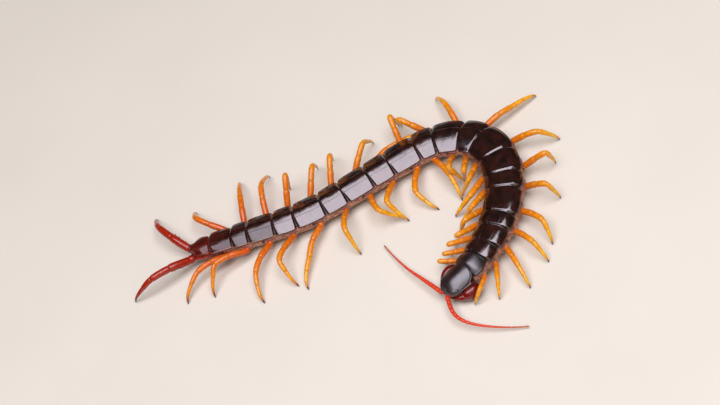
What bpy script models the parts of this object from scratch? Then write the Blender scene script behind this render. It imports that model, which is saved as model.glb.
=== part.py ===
"""A giant centipede, life size, standing on its walking legs with its front half turned back.

Z is up and the floor is z = 0. The body follows one bent line, measured in millimetres
from the rear edge of the last back plate towards the head. Every length below is in
millimetres, and every angle in degrees.
"""

import math

import bpy
from mathutils import Vector

MM = 0.001

# The back: 21 plates, from the one behind the head to the one before the last legs
PLATE_LENGTHS = [5.0, 5.6, 6.6, 5.6, 10.0, 6.4, 9.2, 10.2, 7.4, 10.0, 7.2,
                 11.0, 8.6, 10.8, 8.6, 10.8, 8.0, 10.0, 6.2, 8.6, 7.2]
PLATES = len(PLATE_LENGTHS)
PLATES_PER_LENGTH = 3
BODY_LENGTH = sum(PLATE_LENGTHS)
PLATE_WIDTHS = [(1, 10.4), (2, 11.4), (3, 12.2), (5, 13.2), (8, 14.2), (11, 13.2),
                (14, 12.2), (17, 11.6), (19, 10.6), (20, 9.6), (21, 8.0)]
BACK_HEIGHT = [(1, 9.2), (4, 9.2), (18, 9.1), (21, 8.3)]
PLATE_EDGE = 6.8
ROOF_POWER = 1.6
BELLY = 2.1

# The bent line: where the tail end lies on the floor, and the way the body heads there
TAIL_END = (-53.59, 34.32)
HEADINGS = [(0, -16), (30, -16), (60, 2), (85, 1), (105, -36), (125, -95),
            (145, -127), (160, -145), (175, -160), (185, -170)]
LINE_STEP = 0.25

# One plate's outline from its rear edge to its front edge, which slips under the next:
# part of the plate's length, width, and how far the back lies below its full height
PLATE_PROFILE = [(0.015, 0.9, 0.0), (0.2, 0.98, 0.0), (0.6, 1.0, 0.0), (0.85, 0.94, 0.15), (0.97, 0.86, 0.45)]
# Across half a back plate: the part of the half width at which a point is set
BACK_POINTS = [0.0, 0.35, 0.65, 0.87, 1.0]
# Below the plate's edge: groove, flank, root of the legs and edge of the belly plate,
# as a part of the half width and a height
FLANK_POINTS = [(0.87, 6.0), (0.88, 4.2), (0.8, 3.0), (0.56, BELLY)]

HEAD_SIZE = (10.6, 9.4, 3.8)
HEAD_MIDDLE = 5.9
HEAD_UNDERSIDE = 1.1
HEAD_GAP = 0.3
EYE_RADIUS = 0.7
EYE_PLACE = (8.0, 3.65, 6.2)
EYE_GAP = 0.12

JAW_BASE_SIZE = (5.4, 7.0, 1.3)
JAW_BASE_PLACE = (3.6, 0.0, 3.4)
# Each poison claw: ahead of the first plate, out from the middle, height and radius
JAW_PATH = [(1.0, 5.4, 3.2, 1.2), (2.4, 6.2, 2.95, 1.7), (4.4, 6.3, 2.9, 1.75), (6.6, 5.5, 2.9, 1.4),
            (8.5, 3.9, 2.8, 0.95), (9.8, 2.1, 2.7, 0.55), (10.3, 0.85, 2.6, 0.3)]

ANTENNA_LENGTH = 33.0
ANTENNA_ROOT = (11.0, 1.4, 4.3)
ANTENNA_POINTS = 16
ANTENNA_RADII = [(0, 0.82), (6, 0.76), (16, 0.5), (33, 0.26)]
ANTENNA_HEIGHTS = [(0, 4.3), (8, 4.0), (22, 2.4), (33, 1.2)]
# The way each antenna heads, outwards from the head's own line
ANTENNA_TURNS = {
    "right": [(0, 86), (12, 86), (20, 92), (33, 98)],
    "left": [(0, 60), (4, 66), (9, 93), (14, 117), (20, 127), (33, 137)],
}

# Walking legs: length by pair, and the radius along a leg
LEG_LENGTHS = [(1, 12.4), (2, 14.2), (3, 16.8), (9, 20.0), (14, 21.5), (18, 24.0), (20, 24.5)]
LEG_RADII = [1.12, 1.2, 1.14, 1.02, 0.82, 0.56, 0.36, 0.28]
LEG_ROOT_HEIGHT = 4.2
LEG_ROOT_AT = 0.66
LEG_ROOT_GAP = 0.35
LEG_ROOT_RUN = 1.0
UPPER_SHARE = 0.52
FOOT_RISE = 0.6
LEG_SWELL = 0.08
# Where each foot stands: out from the leg's root, ahead of it, and the turn of the knee
# about the line from root to foot, forwards from straight up
LEFT_FEET = [
    (1.5, 8.8, -25), (6.6, 9.3, -12), (12.7, 9.2, -4), (13.4, 6.9, -4), (11.3, 10.1, -25),
    (10.8, 4.2, 6), (10.3, 0.0, 12), (14.0, 7.9, 4), (19.8, 9.1, 4), (15.2, -11.0, 14),
    (10.0, -7.9, -18), (11.5, 3.3, -7), (1.5, 20.6, -75), (10.9, 11.8, 8), (14.4, 5.8, 12),
    (15.1, 6.3, 12), (11.6, 1.2, 12), (20.9, 1.8, -7), (22.6, -1.4, 12), (15.8, -12.5, -32),
]
RIGHT_FEET = [
    (4.7, 1.4, 28), (5.7, 1.8, 36), (6.3, 2.1, 38), (7.2, 4.0, 37), (7.4, 7.6, 20),
    (8.4, 7.4, 31), (12.8, 9.0, 32), (9.8, 4.6, 28), (5.6, 1.5, 17), (8.1, 4.5, -20),
    (18.1, 4.3, 13), (17.6, -1.0, -54), (15.2, -2.1, -36), (13.2, 6.3, -37), (17.0, -3.1, -14),
    (20.5, -12.9, -50), (18.7, -2.2, -41), (21.5, -5.5, -49), (12.9, -15.0, -36), (12.5, -18.5, -44),
]

# The last legs trail behind: root, then foot, as distance behind the last plate's rear
# edge and out from the middle
LAST_LEG_ROOT = (0.9, 2.3, 4.6)
LAST_LEG_LENGTH = 28.0
LAST_UPPER_SHARE = 0.56
LAST_LEG_RADII = [1.45, 1.6, 1.5, 1.2, 0.88, 0.54, 0.36, 0.28]
LAST_FEET = {"left": (15.4, 24.0, -26), "right": (26.0, 10.1, 11)}

SKINS = {
    "plate": ((0.035, 0.018, 0.015), 0.25),
    "leg": ((0.80, 0.33, 0.05), 0.35),
    "red": ((0.35, 0.03, 0.015), 0.3),
    "eye": ((0.01, 0.01, 0.01), 0.1),
}


def ease(stations, at):
    """Value at one place of a smooth curve through (place, value) pairs, without overshoot."""
    places = [place for place, _ in stations]
    values = [value for _, value in stations]
    if at <= places[0]:
        return values[0]
    if at >= places[-1]:
        return values[-1]
    slopes = [0.0]
    for i in range(1, len(stations) - 1):
        before = (values[i] - values[i - 1]) / (places[i] - places[i - 1])
        after = (values[i + 1] - values[i]) / (places[i + 1] - places[i])
        slopes.append(2 * before * after / (before + after) if before * after > 0 else 0.0)
    slopes.append(0.0)
    i = max(j for j in range(len(places) - 1) if places[j] <= at)
    span = places[i + 1] - places[i]
    t = (at - places[i]) / span
    return (values[i] * (1 + 2 * t) * (1 - t) ** 2 + slopes[i] * span * t * (1 - t) ** 2
            + values[i + 1] * t * t * (3 - 2 * t) - slopes[i + 1] * span * t * t * (1 - t))


def trace_line():
    """Points of the bent line on the floor, one every LINE_STEP."""
    points = [Vector((TAIL_END[0], TAIL_END[1], 0.0))]
    for i in range(int((BODY_LENGTH + HEAD_SIZE[0] + 4) / LINE_STEP)):
        heading = math.radians(ease(HEADINGS, (i + 0.5) * LINE_STEP))
        points.append(points[-1] + Vector((math.cos(heading), math.sin(heading), 0)) * LINE_STEP)
    return points


LINE = trace_line()


def directions(station):
    """Ahead and left, as unit vectors, at one station of the body."""
    heading = math.radians(ease(HEADINGS, station))
    ahead = Vector((math.cos(heading), math.sin(heading), 0))
    return ahead, Vector((-ahead.y, ahead.x, 0))


def place(station, left, height, on=0.0):
    """A point beside the bent line, in millimetres; on moves it straight ahead."""
    index = min(max(int(station / LINE_STEP), 0), len(LINE) - 2)
    part = station / LINE_STEP - index
    foot = LINE[index].lerp(LINE[index + 1], part)
    ahead, leftward = directions(station)
    return foot + leftward * left + ahead * on + Vector((0, 0, height))


def head_directions():
    return directions(BODY_LENGTH + HEAD_SIZE[0] / 2)


def head_place(on, left, height):
    """A point of the head, ahead of the first plate and out from the middle."""
    ahead, leftward = head_directions()
    return place(BODY_LENGTH, 0, height) + ahead * on + leftward * left


def plate_rear(plate):
    return sum(PLATE_LENGTHS[plate:])


def make_skins():
    skins = {}
    for name, (colour, roughness) in SKINS.items():
        skin = bpy.data.materials.new(name)
        skin.use_nodes = True
        surface = skin.node_tree.nodes["Principled BSDF"]
        surface.inputs["Base Color"].default_value = (*colour, 1)
        surface.inputs["Roughness"].default_value = roughness
        surface.inputs["Metallic"].default_value = 0.0
        skins[name] = skin
    return skins


def keep(name, shape, skin):
    """Put a shape into the model as one named part."""
    part = bpy.data.objects.new(name, shape)
    shape.materials.clear()
    shape.materials.append(skin)
    model.objects.link(part)
    return part


def loft(rings):
    """A closed skin through rings that hold the same number of points, in millimetres."""
    count = len(rings[0])
    points = [point * MM for ring in rings for point in ring]
    faces = [tuple(reversed(range(count)))]
    for row in range(len(rings) - 1):
        for i in range(count):
            j = (i + 1) % count
            low = row * count
            faces.append((low + i, low + j, low + count + j, low + count + i))
    last = (len(rings) - 1) * count
    faces.append(tuple(range(last, last + count)))
    shape = bpy.data.meshes.new("loft")
    shape.from_pydata(points, [], faces)
    shape.update()
    return shape


def body_ring(station, half, back, floor=BELLY):
    """The body's outline across one station, from the left belly edge over the back."""
    rise = back - PLATE_EDGE
    over = [(part * half, PLATE_EDGE + rise * (1 - part ** ROOF_POWER)) for part in BACK_POINTS]
    under = [(part * half, max(height, floor)) for part, height in FLANK_POINTS]
    side = over[1:] + under
    left = [place(station, across, height) for across, height in reversed(side)]
    right = [place(station, -across, height) for across, height in side]
    return left + [place(station, 0, back)] + right


def trunk_length(name, first, last, skin):
    """The body from plate first to plate last, counted from the head."""
    rings = []
    for plate in range(last, first - 1, -1):
        half = ease(PLATE_WIDTHS, plate) / 2
        back = ease(BACK_HEIGHT, plate)
        for part, width, drop in PLATE_PROFILE:
            station = plate_rear(plate) + part * PLATE_LENGTHS[plate - 1]
            rings.append(body_ring(station, half * width, back - drop))
    if last == PLATES:
        rings.insert(0, tail_ring())
    return keep(name, loft(rings), skin)


def tail_ring():
    """The small end behind the last plate, between the roots of the last legs."""
    low_back = ease(BACK_HEIGHT, PLATES) - 1.2
    ring = body_ring(0.0, ease(PLATE_WIDTHS, PLATES) * 0.4, low_back, BELLY + 0.6)
    ahead, _ = directions(0.0)
    return [point - ahead * 0.3 for point in ring]


def limb(name, points, radii, skin, sides=1):
    """A tapering tube through points, closed at both ends."""
    curve = bpy.data.curves.new(name, "CURVE")
    curve.dimensions = "3D"
    curve.bevel_depth = MM
    curve.bevel_resolution = sides
    curve.use_fill_caps = True
    spline = curve.splines.new("POLY")
    spline.points.add(len(points) - 1)
    for knot, point, radius in zip(spline.points, points, radii):
        knot.co = (*(point * MM), 1)
        knot.radius = radius
    return keep(name, curve, skin)


def bend_leg(root, run, foot, length, share, ahead, turn):
    """A leg's joints: two straight halves that meet at the knee, and a level foot.

    The knee lies straight above the line from root to foot, turned forwards about it.
    """
    hip = root + run
    ankle = foot + Vector((0, 0, FOOT_RISE))
    upper = share * length
    lower = (1 - share) * length
    span = ankle - hip
    reach = min(span.length, 0.985 * length)
    along = span.normalized()
    to_knee = (upper ** 2 - lower ** 2 + reach ** 2) / (2 * reach)
    rise = math.sqrt(max(upper ** 2 - to_knee ** 2, 0.0))
    upward = (Vector((0, 0, 1)) - along * along.z).normalized()
    forward = along.cross(Vector((0, 0, 1))).normalized()
    if forward.dot(ahead) < 0:
        forward.negate()
    out = upward * math.cos(math.radians(turn)) + forward * math.sin(math.radians(turn))
    knee = hip + along * (to_knee * span.length / reach) + out * rise
    thigh = hip.lerp(knee, 0.5) + out * (LEG_SWELL * upper)
    shin = knee.lerp(ankle, 0.45) + out * (LEG_SWELL * lower)
    toe = knee.lerp(ankle, 0.8) + out * (LEG_SWELL * lower)
    return [root, hip, thigh, knee, shin, toe, ankle, foot]


def walking_leg(plate, side, skin):
    sign = 1 if side == "left" else -1
    out, on, turn = (LEFT_FEET if side == "left" else RIGHT_FEET)[plate - 1]
    station = plate_rear(plate) + LEG_ROOT_AT * PLATE_LENGTHS[plate - 1]
    ahead, left = directions(station)
    half = ease(PLATE_WIDTHS, plate) / 2
    flank = half * FLANK_POINTS[1][0] + LEG_ROOT_GAP
    root = place(station, sign * flank, LEG_ROOT_HEIGHT)
    run = left * (sign * LEG_ROOT_RUN)
    hip = root + run
    foot = Vector((hip.x, hip.y, 0)) + left * (sign * out) + ahead * on
    joints = bend_leg(root, run, foot, ease(LEG_LENGTHS, plate), UPPER_SHARE, ahead, turn)
    return limb(f"leg_{side}_{plate:02d}", joints, LEG_RADII, skin)


def last_leg(side, skin):
    sign = 1 if side == "left" else -1
    behind, out, turn = LAST_FEET[side]
    ahead, left = directions(0.0)
    root = place(0.0, sign * LAST_LEG_ROOT[1], LAST_LEG_ROOT[2], -LAST_LEG_ROOT[0])
    foot = place(0.0, sign * out, 0.0, -behind)
    run = (left * sign * 0.3 - ahead) * LEG_ROOT_RUN
    joints = bend_leg(root, run, foot, LAST_LEG_LENGTH, LAST_UPPER_SHARE, ahead, turn)
    return limb(f"last_leg_{side}", joints, LAST_LEG_RADII, skin)


def antenna(side, skin):
    sign = 1 if side == "left" else -1
    on, out, height = ANTENNA_ROOT
    point = head_place(on, sign * out, height)
    ahead, _ = head_directions()
    own_line = math.atan2(ahead.y, ahead.x)
    step = ANTENNA_LENGTH / (ANTENNA_POINTS - 1)
    points = [point]
    radii = [ease(ANTENNA_RADII, 0)]
    for i in range(1, ANTENNA_POINTS):
        heading = own_line + sign * math.radians(ease(ANTENNA_TURNS[side], (i - 0.5) * step))
        point = points[-1] + Vector((math.cos(heading), math.sin(heading), 0)) * step
        point.z = ease(ANTENNA_HEIGHTS, i * step)
        points.append(point)
        radii.append(ease(ANTENNA_RADII, i * step))
    return limb(f"antenna_{side}", points, radii, skin)


def shaped_ball(name, centre, shaper, skin, segments, rings):
    """A ball whose points are moved by shaper(ahead, left, up) and then set at centre."""
    bpy.ops.mesh.primitive_uv_sphere_add(segments=segments, ring_count=rings, radius=1)
    ball = bpy.context.object
    shape = ball.data
    ahead, left = head_directions()
    for vertex in shape.vertices:
        on, out, up = shaper(*vertex.co)
        vertex.co = (centre + ahead * on + left * out + Vector((0, 0, up))) * MM
    bpy.data.objects.remove(ball)
    return keep(name, shape, skin)


def head_shape(on, out, up):
    """A flat dome, squarish behind and rounded in front, that dips towards the antennae."""
    length, width, height = HEAD_SIZE
    squareness = 2.6 if on < 0 else 2.2
    flat = math.hypot(on, out)
    if flat > 1e-6:
        stretch = flat / (abs(on) ** squareness + abs(out) ** squareness) ** (1 / squareness)
        on, out = on * stretch, out * stretch
    rise = height - HEAD_UNDERSIDE if up > 0 else HEAD_UNDERSIDE
    return on * length / 2, out * width / 2, up * rise - 0.5 * on


def eye_centre(sign):
    on, out, height = EYE_PLACE
    return head_place(on, sign * out, height)


def socket(name, sign):
    """The hollow in the head that one eye sits in."""
    bpy.ops.mesh.primitive_uv_sphere_add(segments=12, ring_count=8, radius=(EYE_RADIUS + EYE_GAP) * MM,
                                         location=eye_centre(sign) * MM)
    cutter = bpy.context.object
    cutter.name = name
    cutter.hide_render = True
    cutter.display_type = "WIRE"
    for home in cutter.users_collection:
        home.objects.unlink(cutter)
    cutters.objects.link(cutter)
    return cutter


def head(skins):
    centre = head_place(HEAD_GAP + HEAD_SIZE[0] / 2, 0, HEAD_MIDDLE)
    dome = shaped_ball("head", centre, head_shape, skins["plate"], 20, 12)
    for side, sign in (("left", 1), ("right", -1)):
        cut = dome.modifiers.new("eye socket", "BOOLEAN")
        cut.operation = "DIFFERENCE"
        cut.object = socket(f"socket_{side}", sign)

        def eye_shape(on, out, up):
            return on * EYE_RADIUS, out * EYE_RADIUS, up * EYE_RADIUS

        shaped_ball(f"eye_{side}", eye_centre(sign), eye_shape, skins["eye"], 10, 6)
    return dome


def jaws(skins):
    """The poison claws and the plate under the head that bears them."""
    centre = head_place(*JAW_BASE_PLACE)

    def base_shape(on, out, up):
        flat = math.hypot(on, out)
        stretch = flat / (on ** 4 + out ** 4) ** 0.25 if flat > 1e-6 else 1
        length, width, height = JAW_BASE_SIZE
        return on * stretch * length / 2, out * stretch * width / 2, up * height / 2

    shaped_ball("jaw_base", centre, base_shape, skins["red"], 12, 6)
    for side, sign in (("left", 1), ("right", -1)):
        points = [head_place(on, sign * out, height) for on, out, height, _ in JAW_PATH]
        limb(f"jaw_{side}", points, [knot[3] for knot in JAW_PATH], skins["red"])


def trunk(skins):
    for first in range(1, PLATES + 1, PLATES_PER_LENGTH):
        last = first + PLATES_PER_LENGTH - 1
        trunk_length(f"trunk_{first:02d}_{last:02d}", first, last, skins["plate"])


def legs(skins):
    for side in ("left", "right"):
        for plate in range(1, PLATES):
            walking_leg(plate, side, skins["leg"])
        last_leg(side, skins["red"])
        antenna(side, skins["red"])


for leftover in list(bpy.data.objects):
    bpy.data.objects.remove(leftover)
model = bpy.data.collections.new("giant centipede")
cutters = bpy.data.collections.new("cutters")
bpy.context.scene.collection.children.link(model)
bpy.context.scene.collection.children.link(cutters)
palette = make_skins()
trunk(palette)
legs(palette)
head(palette)
jaws(palette)
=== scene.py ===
"""The looks of a giant centipede: shell plates, soft flanks, jointed legs, head and jaws.

Z is up and the floor is z = 0. The body follows one bent line, measured in millimetres from
the rear edge of the last back plate towards the head. Lengths are in millimetres and angles
in degrees, unless a name says otherwise.
"""

import math

import bpy
from mathutils import Matrix, Vector, noise


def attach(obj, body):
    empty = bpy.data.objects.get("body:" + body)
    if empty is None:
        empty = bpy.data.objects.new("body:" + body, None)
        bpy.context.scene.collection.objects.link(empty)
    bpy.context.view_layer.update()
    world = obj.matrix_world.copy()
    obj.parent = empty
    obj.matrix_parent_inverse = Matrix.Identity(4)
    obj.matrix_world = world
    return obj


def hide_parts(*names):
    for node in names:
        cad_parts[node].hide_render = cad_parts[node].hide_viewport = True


MM = 0.001
BODY = "root"

# The back: 21 plates, from the one behind the head to the one before the last legs
PLATE_LENGTHS = [5.0, 5.6, 6.6, 5.6, 10.0, 6.4, 9.2, 10.2, 7.4, 10.0, 7.2,
                 11.0, 8.6, 10.8, 8.6, 10.8, 8.0, 10.0, 6.2, 8.6, 7.2]
PLATES = len(PLATE_LENGTHS)
BODY_LENGTH = sum(PLATE_LENGTHS)
PLATE_WIDTHS = [(1, 10.4), (2, 11.4), (3, 12.2), (5, 13.2), (8, 14.2), (11, 13.2),
                (14, 12.2), (17, 11.6), (19, 10.6), (20, 9.6), (21, 8.0)]
BACK_HEIGHT = [(1, 9.2), (4, 9.2), (18, 9.1), (21, 8.3)]
PLATE_EDGE = 6.8
BELLY = 2.1

# The bent line: where the tail end lies on the floor, and the way the body heads there
TAIL_END = (-53.59, 34.32)
HEADINGS = [(0, -16), (30, -16), (60, 2), (85, 1), (105, -36), (125, -95),
            (145, -127), (160, -145), (175, -160), (185, -170)]
LINE_STEP = 0.25

# A back plate: its outline, the roof of its two halves, and the gap to its neighbours
# The roof: flat-topped in front, ridged down the middle behind (plate, power)
ROOF_POWERS = [(1, 1.7), (2, 3.0), (4, 3.4), (7, 3.4), (9, 1.9), (10, 1.4), (12, 1.25),
               (18, 1.25), (20, 1.7), (21, 2.0)]
PLATE_CROWN = 0.14
PLATE_GAP_REAR = 0.08
PLATE_GAP_FRONT = 0.42
PLATE_BARREL = 0.03
PLATE_FRONT_DROP = 0.34
PLATE_FRONT_MARGIN = 0.65
PLATE_REAR_CURL = 0.12
PLATE_THICKNESS = 0.26
PLATE_GRID = (40, 56)
# Each end's rounding: the part of the length it takes up, and how much width it takes away
REAR_ROUND = (0.16, 0.09)
FRONT_ROUND = (0.2, 0.1)
# The first plate dips under the head, and the last one ends in a round lobe
FIRST_FRONT_ROUND = (0.5, 0.22)
FIRST_REAR_ROUND = (0.5, 0.2)
FIRST_REACH = 1.5
FIRST_DIP = 0.5
LAST_REAR_ROUND = (0.5, 0.46)
LAST_REAR_SHORT = 1.1

# The soft skin that shows between the plates and down the flanks
SKIN_WIDTH = 0.99
SKIN_BELOW_BACK = 0.5
# Its outline, from the middle of the back (0) round to the middle of the belly (1)
SKIN_OUT = [(0.0, 0.0), (0.14, 0.3), (0.28, 0.58), (0.4, 0.8), (0.48, 0.91), (0.55, 0.975),
            (0.64, 1.0), (0.73, 0.95), (0.82, 0.78), (0.9, 0.5), (1.0, 0.0)]
SKIN_HEIGHTS = [(0.48, 6.3), (0.55, 5.6), (0.64, 4.6), (0.73, 3.5), (0.82, 2.65), (0.9, 2.25), (1.0, 2.2)]
SKIN_GRID = (640, 80)
SKIN_TAIL_ROUND = (0.03, 0.55)
FOLD_DEPTH = 0.1
SOCKET_BULGE = 0.75

HEAD_SIZE = (10.6, 9.4, 3.8)
HEAD_MIDDLE = 5.9
HEAD_UNDERSIDE = 1.1
HEAD_GAP = 0.3
# How far the head plate's raised rear edge lies over the first plate
HEAD_OVERLAP = 0.4
HEAD_ROOF_POWER = 1.8
HEAD_SIDE_RISE = 0.18
# Below its edge the head draws in by this share, so the edge stands free over the jaws
HEAD_TUCK = 0.24
# The middle of each group of four simple eyes: ahead and out
EYE_PLACE = (8.0, 3.65)
EYE_SINK = 0.08
# Each simple eye: ahead and out from the middle of its group, and its radius
OCELLI = ((0.5, -0.05, 0.34), (-0.45, 0.1, 0.38), (0.05, -0.5, 0.28), (0.0, 0.42, 0.28))

JAW_BASE_SIZE = (6.2, 8.0, 1.8)
JAW_BASE_PLACE = (3.8, 0.0, 3.5)
# Each poison claw: ahead of the first plate, out from the middle, height and radius
JAW_PATH = [(1.0, 5.2, 3.2, 1.3), (2.4, 5.9, 3.1, 1.9), (4.4, 6.0, 3.05, 2.0), (6.6, 5.2, 3.0, 1.6),
            (8.5, 3.8, 2.8, 1.05), (9.8, 2.1, 2.7, 0.58), (10.3, 0.85, 2.6, 0.3)]
# A claw's swollen root, deeper than it is wide
JAW_DEPTH = 1.34

ANTENNA_LENGTH = 33.0
ANTENNA_ROOT = (11.0, 1.4, 4.3)
ANTENNA_ARTICLES = 18
ANTENNA_RADII = [(0, 0.82), (6, 0.76), (16, 0.5), (33, 0.26)]
ANTENNA_HEIGHTS = [(0, 4.3), (8, 4.0), (22, 2.4), (33, 1.2)]
# The way each antenna heads, outwards from the head's own line
ANTENNA_TURNS = {
    "right": [(0, 86), (12, 86), (20, 92), (33, 98)],
    "left": [(0, 60), (4, 66), (9, 93), (14, 117), (20, 127), (33, 137)],
}

# Walking legs: length by pair, and the radius at each joint
LEG_LENGTHS = [(1, 12.4), (2, 14.2), (3, 16.8), (9, 20.0), (14, 21.5), (18, 24.0), (20, 24.5)]
LEG_RADII = [1.12, 1.2, 1.14, 1.02, 0.82, 0.56, 0.36, 0.28]
LEG_ROOT_HEIGHT = 4.2
LEG_ROOT_AT = 0.66
LEG_ROOT_GAP = 0.35
LEG_FLANK = 0.88
LEG_ROOT_RUN = 1.0
UPPER_SHARE = 0.52
FOOT_RISE = 0.6
LEG_SWELL = 0.08
# Where the claw takes over, between the last bend and the foot
CLAW_STARTS = 0.66
CLAW_TIP_HEIGHT = 0.06
# The first pairs are slimmer than the rest
LEG_SLIMNESS = [(1, 0.76), (3, 0.88), (6, 1.0)]
# Where each foot stands: out from the leg's root, ahead of it, and the turn of the knee
# about the line from root to foot, forwards from straight up
LEFT_FEET = [
    (1.5, 8.8, -25), (6.6, 9.3, -12), (12.7, 9.2, -4), (13.4, 6.9, -4), (11.3, 10.1, -25),
    (10.8, 4.2, 6), (10.3, 0.0, 12), (14.0, 7.9, 4), (19.8, 9.1, 4), (15.2, -11.0, 14),
    (10.0, -7.9, -18), (11.5, 3.3, -7), (1.5, 20.6, -75), (10.9, 11.8, 8), (14.4, 5.8, 12),
    (15.1, 6.3, 12), (11.6, 1.2, 12), (20.9, 1.8, -7), (22.6, -1.4, 12), (15.8, -12.5, -32),
]
RIGHT_FEET = [
    (4.7, 1.4, 28), (5.7, 1.8, 36), (6.3, 2.1, 38), (7.2, 4.0, 37), (7.4, 7.6, 20),
    (8.4, 7.4, 31), (12.8, 9.0, 32), (9.8, 4.6, 28), (5.6, 1.5, 17), (8.1, 4.5, -20),
    (18.1, 4.3, 13), (17.6, -1.0, -54), (15.2, -2.1, -36), (13.2, 6.3, -37), (17.0, -3.1, -14),
    (20.5, -12.9, -50), (18.7, -2.2, -41), (21.5, -5.5, -49), (12.9, -15.0, -36), (12.5, -18.5, -44),
]

# The last legs trail behind: root, then foot, as distance behind the last plate's rear
# edge and out from the middle
LAST_LEG_ROOT = (0.9, 2.3, 4.6)
LAST_LEG_LENGTH = 28.0
LAST_UPPER_SHARE = 0.56
LAST_LEG_RADII = [1.45, 1.6, 1.5, 1.2, 0.88, 0.54, 0.36, 0.28]
LAST_FEET = {"left": (15.4, 24.0, -26), "right": (26.0, 10.1, 11)}

# Segments whose flanks carry a breathing hole
BREATHING = (3, 5, 8, 10, 12, 14, 16, 18, 20)

# The photograph's view: what the camera looks at, how steeply, and its roll
VIEW_TARGET = (7.41, 19.72, 0.0)
VIEW_ELEVATION = 50.0
VIEW_ROLL = 30.0
VIEW_ACROSS = 28.0
VIEW_DISTANCE = 517.5


def ease(stations, at):
    """Value at one place of a smooth curve through (place, value) pairs, without overshoot."""
    places = [place for place, _ in stations]
    values = [value for _, value in stations]
    if at <= places[0]:
        return values[0]
    if at >= places[-1]:
        return values[-1]
    slopes = [0.0]
    for i in range(1, len(stations) - 1):
        before = (values[i] - values[i - 1]) / (places[i] - places[i - 1])
        after = (values[i + 1] - values[i]) / (places[i + 1] - places[i])
        slopes.append(2 * before * after / (before + after) if before * after > 0 else 0.0)
    slopes.append(0.0)
    i = max(j for j in range(len(places) - 1) if places[j] <= at)
    span = places[i + 1] - places[i]
    t = (at - places[i]) / span
    return (values[i] * (1 + 2 * t) * (1 - t) ** 2 + slopes[i] * span * t * (1 - t) ** 2
            + values[i + 1] * t * t * (3 - 2 * t) - slopes[i + 1] * span * t * t * (1 - t))


def trace_line():
    """Points of the bent line on the floor, one every LINE_STEP."""
    points = [Vector((TAIL_END[0], TAIL_END[1], 0.0))]
    for i in range(int((BODY_LENGTH + HEAD_SIZE[0] + 4) / LINE_STEP)):
        heading = math.radians(ease(HEADINGS, (i + 0.5) * LINE_STEP))
        points.append(points[-1] + Vector((math.cos(heading), math.sin(heading), 0)) * LINE_STEP)
    return points


LINE = trace_line()


def directions(station):
    """Ahead and left, as unit vectors, at one station of the body."""
    heading = math.radians(ease(HEADINGS, station))
    ahead = Vector((math.cos(heading), math.sin(heading), 0))
    return ahead, Vector((-ahead.y, ahead.x, 0))


def place(station, left, height, on=0.0):
    """A point beside the bent line, in millimetres; on moves it straight ahead."""
    index = min(max(int(station / LINE_STEP), 0), len(LINE) - 2)
    part = station / LINE_STEP - index
    foot = LINE[index] + (LINE[index + 1] - LINE[index]) * part
    ahead, leftward = directions(station)
    return foot + leftward * left + ahead * on + Vector((0, 0, height))


def head_directions():
    return directions(BODY_LENGTH + HEAD_SIZE[0] / 2)


def head_place(on, left, height):
    """A point of the head, ahead of the first plate and out from the middle."""
    ahead, leftward = head_directions()
    return place(BODY_LENGTH, 0, height) + ahead * on + leftward * left


def plate_rear(plate):
    return sum(PLATE_LENGTHS[plate:])


def plate_at(station):
    """The plate over one station, and how far along it the station lies, from 0 to 1."""
    for plate in range(1, PLATES + 1):
        rear = plate_rear(plate)
        if station >= rear:
            return plate, min((station - rear) / PLATE_LENGTHS[plate - 1], 1.0)
    return PLATES, 0.0


def round_off(at):
    """How far a quarter circle has fallen away: 1 at its end (0), nothing from 1 on."""
    t = min(max(1 - at, 0.0), 1.0)
    return 1 - math.sqrt(1 - t * t)


def smooth_step(low, high, at):
    t = min(max((at - low) / (high - low), 0.0), 1.0)
    return t * t * (3 - 2 * t)


# Materials

def to_linear(colour):
    """An sRGB hex colour as linear red, green, blue and alpha."""
    channels = [int(colour[i:i + 2], 16) / 255 for i in (1, 3, 5)]
    return [c / 12.92 if c <= 0.04045 else ((c + 0.055) / 1.055) ** 2.4 for c in channels] + [1.0]


def add(material, kind, inputs=None, output=0, stops=(), **settings):
    """Add one shader node with its settings, inputs and colour stops, and give back an output."""
    tree = material.node_tree
    node = tree.nodes.new("ShaderNode" + kind)
    for name, value in settings.items():
        setattr(node, name, value)
    for name, value in (inputs or {}).items():
        if isinstance(value, bpy.types.NodeSocket):
            tree.links.new(value, node.inputs[name])
        else:
            node.inputs[name].default_value = value
    for i, (at, colour) in enumerate(stops):
        band = node.color_ramp.elements
        stop = band[i] if i < len(band) else band.new(at)
        stop.position = at
        stop.color = to_linear(colour)
    return node.outputs[output]


def new_material(name, **surface):
    """A material with one shader, whose even values are set on its own sockets."""
    material = bpy.data.materials.new(name)
    material.use_nodes = True
    shader = material.node_tree.nodes["Principled BSDF"]
    for socket, value in surface.items():
        shader.inputs[socket.replace("_", " ")].default_value = value
    return material


def finish(material, **outputs):
    """Join outputs to the shader's sockets."""
    shader = material.node_tree.nodes["Principled BSDF"]
    for socket, output in outputs.items():
        material.node_tree.links.new(output, shader.inputs[socket.replace("_", " ")])
    return material


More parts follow.
